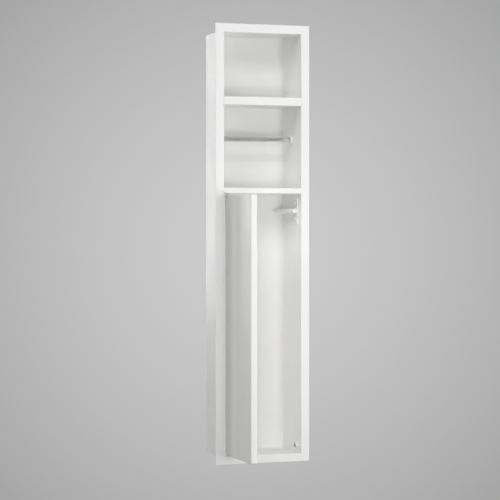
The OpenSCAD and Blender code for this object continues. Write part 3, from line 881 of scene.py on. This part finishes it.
class BuildDoor(bpy.types.Operator):
    """Door pan, its inner cover and the strike plate"""
    bl_idname = "roll_cabinet.door"
    bl_label = "Door"

    def execute(self, context):
        sheet = context.scene.roll_sheet
        lowest, highest = square_box("door_outer_pan")
        piece = self.rounded_block("door_pan", lowest, highest, sheet)
        wall = Vector([sheet.door_sheet] * 3)
        room = Vector((highest.x + wall.x, highest.y - wall.y, highest.z - wall.z))
        pin = middle("upper_pivot_pin")
        start = Vector((pin.x, pin.y, lowest.z - DRILL_PAST))
        end = Vector((pin.x, pin.y, highest.z + DRILL_PAST))
        hollowed(piece, self.plain_block(lowest + wall, room), self.bore(start, end, PIVOT_HOLE_R))
        settled(swung(shaded(piece), -PAST_SQUARE), "door_outer_pan")
        eased_copy("door_cover", "door_inner_cover", sheet.cut_edge, segments=6,
                   where=lambda p: p.x > highest.x - 10 * WELD_GAP)
        eased_copy("strike", "strike_plate", sheet.cut_edge * 0.6, segments=6)
        return {"FINISHED"}

    def rounded_block(self, name, lowest, highest, sheet, steps=8):
        """The pan before it is hollowed, with its top and bottom edges rounded, the rear ones less"""
        levels, least_bend = [], 0.15 * MM
        for cosine, sine in (quarter(step / steps) for step in range(steps + 1)):
            depth, inset = sheet.door_edge * (1 - cosine), sheet.door_edge * (1 - sine)
            left = max(sheet.cut_edge - depth, 0)
            levels.append((depth, inset, sheet.cut_edge - math.sqrt(sheet.cut_edge ** 2 - left ** 2)))
        heights = [(lowest.z + depth, inset, rear) for depth, inset, rear in levels]
        heights += [(highest.z - depth, inset, rear) for depth, inset, rear in reversed(levels)]
        bends = (sheet.hinge_bend, sheet.free_bend, sheet.free_bend, sheet.hinge_bend)
        return lofted(name, [
            [Vector((x, y, z)) for x, y in outline(
                (lowest.x, lowest.y, highest.x + inset - rear, highest.y), -inset,
                [max(bend, inset + least_bend) for bend in bends])]
            for z, inset, rear in heights])

    def plain_block(self, lowest, highest):
        """Cutter for the pan's hollow"""
        bm = bmesh.new()
        bmesh.ops.create_cube(bm, size=1, matrix=Matrix.Translation((lowest + highest) / 2)
                              @ Matrix.Diagonal((*(highest - lowest), 1)))
        return from_bmesh("pan_hollow", bm)

    def bore(self, start, end, radius):
        """Cutter for the holes that the pivot blocks show through"""
        bm = bmesh.new()
        bmesh.ops.create_cone(bm, cap_ends=True, segments=72, radius1=radius, radius2=radius,
                              depth=(end - start).length, matrix=Matrix.Translation((start + end) / 2))
        return from_bmesh("pan_bore", bm)


class BuildPivots(bpy.types.Operator):
    """Pins, bush, washer and nylon blocks that the door turns on"""
    bl_idname = "roll_cabinet.pivots"
    bl_label = "Pivots"

    def execute(self, context):
        fitting = context.scene.roll_fitting
        edge = fitting.turned_edge
        lowest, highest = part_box("upper_pivot_pin")
        axis = Vector((middle("upper_pivot_pin").x, middle("upper_pivot_pin").y, 0))
        collar_r, pin_r, collar_t = extent("upper_pivot_pin").x / 2, 2.5 * MM, 0.7 * MM
        top = Vector((axis.x, axis.y, highest.z))
        length = highest.z - lowest.z
        settled(turned("pivot_pin", top, "-Z", [
            (0, 0), (0, collar_r), (collar_t, collar_r, edge), (collar_t, pin_r, edge * 0.5),
            (length, pin_r, edge * 2), (length, 0)]), "upper_pivot_pin")
        base = Vector((axis.x, axis.y, low("lower_pivot_bush").z))
        seat, spigot_r, head_r, bore_r = 2 * MM, 3.7 * MM, 3.03 * MM, 2.53 * MM
        settled(turned("pivot_bush", base, "+Z", [
            (0, head_r, edge * 0.5), (0, spigot_r), (seat, spigot_r), (seat, collar_r),
            (seat + collar_t, collar_r, edge), (seat + collar_t, bore_r, edge * 0.5), (seat, bore_r),
            (seat, head_r)], closed=True), "lower_pivot_bush")
        hexagon = fitting.socket_size / 2
        screw_l = extent("lower_pivot_screw").z
        settled(turned("pivot_screw", base + Vector((0, 0, screw_l)), "-Z", [
            (0, 0), (0, pin_r, edge * 2), (screw_l - seat, pin_r, edge * 0.3), (screw_l - seat, 3 * MM),
            (screw_l, 3 * MM, edge), (screw_l, hexagon * 1.3)],
            extra=hexagon_socket(fitting, screw_l, 0.1 * MM)), "lower_pivot_screw")
        lowest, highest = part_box("lower_pivot_washer")
        thick = highest.z - lowest.z
        washer_r = extent("lower_pivot_washer").x / 2
        settled(turned("pivot_washer", Vector((axis.x, axis.y, lowest.z)), "+Z", [
            (0, bore_r, 0.05 * MM), (0, washer_r, 0.1 * MM), (thick, washer_r, 0.1 * MM),
            (thick, bore_r, 0.05 * MM)], closed=True), "lower_pivot_washer")
        for name, node in (("pivot_block_upper", "upper_pivot_block"),
                           ("pivot_block_lower", "lower_pivot_block")):
            eased_copy(name, node, fitting.moulded_edge * 0.7)
        return {"FINISHED"}


class BuildLatch(bpy.types.Operator):
    """Touch latch: mount, barrel, rear cap, plunger and magnet"""
    bl_idname = "roll_cabinet.latch"
    bl_label = "Touch latch"

    def execute(self, context):
        fitting = context.scene.roll_fitting
        edge = fitting.moulded_edge
        eased_copy("latch_plate", "latch_mount", edge, segments=4)
        centre = middle("latch_barrel")
        front = Vector((centre.x, low("latch_barrel").y, centre.z))
        barrel_r, barrel_l = extent("latch_barrel").z / 2, extent("latch_barrel").y
        nose_r, nose_l, bore_r, guide_r = 4.2 * MM, 9.5 * MM, 3.25 * MM, 4 * MM
        settled(turned("latch_housing", front, "+Y", [
            (0, bore_r, edge * 0.5), (0, nose_r, edge * 0.9), (nose_l, nose_r, edge * 0.4),
            (nose_l, barrel_r, edge * 0.7), (barrel_l, barrel_r, edge * 0.3), (barrel_l, guide_r),
            (nose_l + 1 * MM, guide_r), (nose_l + 1 * MM, bore_r)], closed=True), "latch_barrel")
        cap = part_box("latch_rear_cap")
        plug_l = front.y + barrel_l - cap[0].y
        dome = [(barrel_r * math.sin(a), barrel_r * math.cos(a)) for a in
                [math.radians(d) for d in range(6, 90, 6)]]
        settled(turned("latch_cap", front + Vector((0, barrel_l, 0)), "+Y", [
            (-plug_l, 0), (-plug_l, guide_r - FIT_GAP, edge * 0.5), (0, guide_r - FIT_GAP), (0, barrel_r),
            *dome, (barrel_r, 0)]), "latch_rear_cap")
        tip = Vector((centre.x, low("latch_plunger").y, centre.z))
        plunger_l, collar_l, plunger_r, collar_r = extent("latch_plunger").y, 6 * MM, 3.2 * MM, 3.95 * MM
        magnet_t, magnet_r = extent("latch_magnet").y, extent("latch_magnet").z / 2
        skin, hollow_r = low("latch_magnet").y - tip.y, magnet_r + FIT_GAP
        settled(turned("latch_pin", tip, "+Y", [
            (0, 0), (0, plunger_r, edge * 1.4), (plunger_l - collar_l, plunger_r, edge * 0.3),
            (plunger_l - collar_l, collar_r, edge * 0.5), (plunger_l, collar_r, edge * 0.5),
            (plunger_l, hollow_r, edge * 0.4), (skin, hollow_r), (skin, 0)]), "latch_plunger")
        settled(turned("latch_disc", tip + Vector((0, skin, 0)), "+Y", [
            (0, 0), (0, magnet_r, 0.15 * MM), (magnet_t, magnet_r, 0.15 * MM),
            (magnet_t, 0)]), "latch_magnet")
        return {"FINISHED"}


class BuildSprings(bpy.types.Operator):
    """Wound springs inside the latch barrel and the roll rod"""
    bl_idname = "roll_cabinet.springs"
    bl_label = "Springs"

    def execute(self, context):
        fitting = context.scene.roll_fitting
        wire = fitting.latch_wire
        for name, node, coils, along, turn, joint, held in (
                ("latch_spring_wire", "latch_spring", fitting.latch_coils, 1, (-90, 0, 0),
                 "latch_plunger_slide", 1),
                ("rod_spring_wire", "rod_spring", fitting.rod_coils, 0, (0, 90, 0), "roll_rod_slide", 0)):
            lowest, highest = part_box(node)
            centre = (lowest + highest) / 2
            start = centre.copy()
            start[along] = lowest[along]
            length = highest[along] - lowest[along]
            outer = extent(node).z / 2
            piece = grown(
                name, bpy.data.meshes.new(name), "coil_spring", Coils=coils, Length=length,
                Coil_radius=outer - wire / 2, Wire=wire, Place=start,
                Facing=[math.radians(angle) for angle in turn], Finish=finish("spring_steel"))
            settled(piece, node)
            axis = Vector((0, 0, 0))
            axis[along] = 1
            anchor = centre.copy()
            anchor[along] = (lowest, highest)[held][along]
            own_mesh(piece)
        return {"FINISHED"}


class BuildScrews(bpy.types.Operator):
    """Pan-head screws with hexagon sockets, set out in rows"""
    bl_idname = "roll_cabinet.screws"
    bl_label = "Screws"

    def execute(self, context):
        fitting = context.scene.roll_fitting
        hexagon = fitting.socket_size / 2
        head_h = shank_r = 1.4 * MM
        for name, node, count, turn in (
                ("strike_screw_row", "strike_screws", 2, (0, 90, 0)),
                ("latch_screw_row", "latch_mount_screws", 2, (0, -90, 0)),
                ("stop_screw", "door_stop_screw", 1, (0, -90, 0))):
            on_door = BODY_OF[node] == "door"
            lowest, highest = square_box(node) if on_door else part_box(node)
            size, centre = highest - lowest, (lowest + highest) / 2
            head_r = size.y / 2
            seat = highest.x - head_h if turn[1] > 0 else lowest.x + head_h
            shank_l = size.x - head_h
            profile = [(-shank_l, 0), (-shank_l, shank_r, 0.2 * MM), (0, shank_r), (0, head_r, 0.15 * MM),
                       (head_h, head_r, 0.6 * MM), (head_h, hexagon * 1.3)]
            sample = turned(name, Vector((0, 0, 0)), "+Z", profile,
                            extra=hexagon_socket(fitting, head_h, 0.12 * MM))
            mesh = sample.data
            bpy.data.objects.remove(sample)
            first = lowest.z + head_r
            step = (size.z - 2 * head_r) / max(1, count - 1)
            piece = grown(
                name, mesh, "fastener_row", Count=count, First_place=(seat, centre.y, first),
                Step=(0.0, 0.0, step), Facing=[math.radians(angle) for angle in turn], Spread=1.0, Seed=3,
                Finish=finish(SLOT_OF[node]))
            shaded(piece, sharp=50)
            settled(swung(piece, -PAST_SQUARE) if on_door else piece, node)
        return {"FINISHED"}


class BuildStop(bpy.types.Operator):
    """Door stop low on the right side panel"""
    bl_idname = "roll_cabinet.door_stop"
    bl_label = "Door stop"

    def execute(self, context):
        edge = context.scene.roll_fitting.moulded_edge
        centre = middle("door_stop_post")
        foot_r, post_l = extent("door_stop_post").z / 2, extent("door_stop_post").x
        post_r, foot_t, hole_r = 4.25 * MM, 1 * MM, 1.43 * MM
        pocket_d, pocket_r = 1.5 * MM, extent("door_stop_screw").z / 2 + 0.2 * MM
        wall = Vector((high("door_stop_post").x, centre.y, centre.z))
        settled(turned("stop_post", wall, "-X", [
            (0, hole_r), (0, foot_r), (foot_t, foot_r, edge), (foot_t, post_r, edge),
            (post_l, post_r, edge * 0.5), (post_l, pocket_r, edge * 0.3), (post_l - pocket_d, pocket_r),
            (post_l - pocket_d, hole_r)], closed=True), "door_stop_post")
        return {"FINISHED"}


class BuildRollRod(bpy.types.Operator):
    """Telescopic roll rod and the sockets that hold it"""
    bl_idname = "roll_cabinet.roll_rod"
    bl_label = "Roll rod"

    def execute(self, context):
        fitting = context.scene.roll_fitting
        edge, moulded = fitting.turned_edge, fitting.moulded_edge
        axis = middle("rod_outer_tube")
        rod_r = extent("rod_outer_tube").z / 2
        inner_r = extent("rod_inner_tube").z / 2
        tube_wall = 0.8 * MM
        bore_r, inner_bore_r = rod_r - tube_wall, inner_r - tube_wall

        def spot(x):
            return Vector((x, axis.y, axis.z))

        for name, node, outer, inner in (("rod_sleeve", "rod_outer_tube", rod_r, bore_r),
                                         ("rod_core", "rod_inner_tube", inner_r, inner_bore_r)):
            length = extent(node).x
            piece = turned(name, spot(low(node).x), "+X", [
                (0, inner, 0.1 * MM), (0, outer, 0.15 * MM), (length, outer, edge),
                (length, inner, 0.1 * MM)], closed=True)
            settled(piece, node)
        for name, node, side, plug_r in (("rod_end_left", "rod_left_cap", "-X", bore_r - FIT_GAP),
                                         ("rod_end_right", "rod_right_cap", "+X", inner_bore_r - FIT_GAP)):
            seat = low("rod_outer_tube").x if side == "-X" else high("rod_inner_tube").x
            cap_l = (seat - low(node).x) if side == "-X" else (high(node).x - seat)
            plug_l = extent(node).x - cap_l
            piece = turned(name, spot(seat), side, [
                (-plug_l, 0), (-plug_l, plug_r, edge), (0, plug_r), (0, rod_r, 0.15 * MM),
                (cap_l, rod_r, rod_r / 2), (cap_l, 0)])
            settled(piece, node)
        socket_r, stem_r, sheet_t, floor_t = extent("left_rod_socket").z / 2, 3 * MM, 2 * MM, 1 * MM
        cup_r = rod_r + 0.05 * MM
        for name, node, side in (("rod_socket_left", "left_rod_socket", "+X"),
                                 ("rod_socket_right", "right_rod_socket", "-X")):
            wall = low(node).x + sheet_t if side == "+X" else high(node).x - sheet_t
            cup_l = extent(node).x - sheet_t
            piece = turned(name, spot(wall), side, [
                (-sheet_t, 0), (-sheet_t, stem_r, edge), (0, stem_r), (0, socket_r, moulded * 0.4),
                (cup_l, socket_r, moulded * 2.2), (cup_l, cup_r, moulded), (floor_t, cup_r, moulded * 0.5),
                (floor_t, 0)])
            settled(piece, node)
        return {"FINISHED"}


class BuildStage(bpy.types.Operator):
    """Camera, lamps, floor and grey background"""
    bl_idname = "roll_cabinet.stage"
    bl_label = "Stage"

    def execute(self, context):
        stage = context.scene.roll_stage
        add_camera(context)
        for setting, lamps in LAMPS.items():
            for name, place, size, share in lamps:
                add_lamp(name, place, size, getattr(stage, setting) * share)
        add_floor(context, stage)
        add_world(context, stage)
        context.scene.view_settings.view_transform = "Standard"
        return {"FINISHED"}


PHOTO_LENS = 138.0
PHOTO_SENSOR = 36.0
PHOTO_SHIFT = -0.06826
PHOTO_SPOT = (-1.2261, -3.3699, 0.0507)
PHOTO_TURN = math.radians(-20.14)
LAMP_TARGET = Vector((0.0, -0.1, 0.05))
# Each setting's lamps: name, place, width and height, and share of the setting's power
LAMPS = {
    "right_light": (("right", (1.6, -0.9, 0.1), (0.7, 1.9), 1.0),),
    "front_light": (("front", (0.1, -1.5, 0.0), (0.4, 0.4), 0.6),
                    ("low_front_left", (-0.55, -1.6, -0.3), (0.4, 0.4), 0.4)),
    "left_light": (("high_front_left", (-1.3, -1.9, 1.75), (0.9, 0.9), 0.38),
                   ("high_front", (-0.5, -1.8, 1.4), (0.5, 0.5), 0.18),
                   ("high_left", (-2.0, -1.0, 1.9), (0.6, 0.6), 0.44)),
    "rear_light": (("rear_left", (-1.7, 1.3, -0.1), (1.2, 1.2), 0.29),
                   ("rear", (-0.35, 1.6, 0.1), (0.6, 0.6), 0.14),
                   ("high_rear", (-0.6, 2.2, 0.8), (0.6, 0.6), 0.23),
                   ("high_rear_right", (0.7, 1.5, 1.6), (0.8, 0.8), 0.34)),
}
# Middle of the background's halo above the horizon, how far it reaches and how it fades
HALO_TILT = math.radians(-0.95)
HALO_REACH = math.radians(10.2)
HALO_FADE = 1.45
FLOOR_RADIUS = 2.6
# Where the floor starts to fade and where it is gone, and its tones as shares of the background's
FLOOR_FADE = (1.1, 2.5)
FLOOR_TONES = (1.08, 1.16)


def add_camera(context):
    data = bpy.data.cameras.new("photo_camera")
    data.lens = PHOTO_LENS
    data.sensor_width = PHOTO_SENSOR
    data.shift_y = PHOTO_SHIFT
    camera = bpy.data.objects.new("photo_camera", data)
    camera.location = PHOTO_SPOT
    camera.rotation_euler = (math.pi / 2, 0, PHOTO_TURN)
    context.scene.collection.objects.link(camera)
    context.scene.camera = camera


def add_lamp(name, place, size, power):
    """Soft lamp turned towards the cabinet, and out of sight of the camera"""
    data = bpy.data.lights.new(name, "AREA")
    data.shape = "RECTANGLE"
    data.size, data.size_y = size
    data.energy = power
    lamp = bpy.data.objects.new(name, data)
    lamp.location = place
    lamp.rotation_euler = (LAMP_TARGET - Vector(place)).to_track_quat("-Z", "Y").to_euler()
    lamp.visible_camera = False
    bpy.context.scene.collection.objects.link(lamp)


def add_floor(context, stage):
    """Round pale floor that fades out at its rim and is seen only from above"""
    bm = bmesh.new()
    bmesh.ops.create_circle(bm, cap_ends=True, segments=96, radius=FLOOR_RADIUS)
    for vert in bm.verts:
        vert.co.z = -stage.floor_drop
    mesh = bpy.data.meshes.new("floor")
    bm.to_mesh(mesh)
    bm.free()
    floor = linked("floor", mesh)
    material = bpy.data.materials.new("floor_paint")
    material.use_nodes = True
    tree = material.node_tree
    shader = tree.nodes["Principled BSDF"]
    shader.inputs["Roughness"].default_value = 0.8
    place = tree.nodes.new("ShaderNodeTexCoord").outputs["Object"]
    grain = noise(tree, place, 3.0, 4.0)
    tone = remapped(tree, grain, (0.0, 1.0), [stage.backdrop * share for share in FLOOR_TONES])
    tree.links.new(tone.outputs[0], shader.inputs["Base Color"])
    flat = joined(tree, "ShaderNodeVectorMath", {0: place, 1: (1.0, 1.0, 0.0)}, operation="MULTIPLY")
    reach = joined(tree, "ShaderNodeVectorMath", {0: flat.outputs[0]}, operation="LENGTH")
    rim = remapped(tree, reach.outputs["Value"], FLOOR_FADE, (1.0, 0.0), interpolation_type="SMOOTHSTEP")
    above = maths(tree, "SUBTRACT", 1.0, tree.nodes.new("ShaderNodeNewGeometry").outputs["Backfacing"])
    seen = maths(tree, "MULTIPLY", rim, above)
    tree.links.new(seen.outputs[0], shader.inputs["Alpha"])
    floor.data.materials.append(material)


def add_world(context, stage):
    """Even light from all round, and a grey background that is brightest behind the cabinet"""
    world = bpy.data.worlds.new("studio")
    world.use_nodes = True
    context.scene.world = world
    tree = world.node_tree
    tree.nodes.clear()
    direction = tree.nodes.new("ShaderNodeTexCoord").outputs["Generated"]
    turn, tilt = PHOTO_TURN, HALO_TILT
    ahead = Vector((-math.sin(turn) * math.cos(tilt), math.cos(turn) * math.cos(tilt), math.sin(tilt)))
    facing = joined(tree, "ShaderNodeVectorMath", {0: direction, 1: ahead}, operation="DOT_PRODUCT")
    aside = maths(tree, "DIVIDE", maths(tree, "ARCCOSINE", facing.outputs["Value"]), HALO_REACH, clamp=True)
    faded = maths(tree, "SUBTRACT", 1.0, maths(tree, "POWER", aside, HALO_FADE))
    halo = maths(tree, "MULTIPLY_ADD", faded, stage.glow, stage.backdrop)
    shown = joined(tree, "ShaderNodeBackground", {"Color": halo.outputs[0], "Strength": 1.0})
    even = joined(tree, "ShaderNodeBackground", {"Color": (1.0, 1.0, 1.0, 1.0), "Strength": stage.ambient})
    rays = tree.nodes.new("ShaderNodeLightPath")
    seen = maths(tree, "ADD", rays.outputs["Is Camera Ray"], rays.outputs["Is Glossy Ray"])
    seen = maths(tree, "ADD", seen, rays.outputs["Is Transmission Ray"], clamp=True)
    mixed = joined(tree, "ShaderNodeMixShader", {0: seen, 1: even, 2: shown})
    joined(tree, "ShaderNodeOutputWorld", {"Surface": mixed})


class CabinetPanel(bpy.types.Panel):
    """Steps and settings of the cabinet"""
    bl_idname = "VIEW3D_PT_roll_cabinet"
    bl_label = "Roll cabinet"
    bl_space_type = "VIEW_3D"
    bl_region_type = "UI"
    bl_category = "Roll cabinet"

    def draw(self, context):
        for step in STEPS:
            self.layout.operator(step.bl_idname)
        for holder in GROUPS:
            settings = getattr(context.scene, holder)
            box = self.layout.box()
            for key in settings.__annotations__:
                box.prop(settings, key)


STEPS = (
    BuildFlange, BuildBodyPanels, BuildFoldedSheets, BuildDoor, BuildPivots, BuildLatch,
    BuildSprings, BuildScrews, BuildStop, BuildRollRod, BuildStage,
)


def register():
    for cls in (*GROUPS.values(), *STEPS, CabinetPanel):
        bpy.utils.register_class(cls)
    for holder, cls in GROUPS.items():
        setattr(bpy.types.Scene, holder, bpy.props.PointerProperty(type=cls))


def unregister():
    for holder in GROUPS:
        delattr(bpy.types.Scene, holder)
    for cls in reversed((*GROUPS.values(), *STEPS, CabinetPanel)):
        bpy.utils.unregister_class(cls)


def main():
    """Builds every piece and the stage"""
    register()
    for step in STEPS:
        family, action = step.bl_idname.split(".")
        getattr(getattr(bpy.ops, family), action)()


if __name__ == "__main__":
    main()
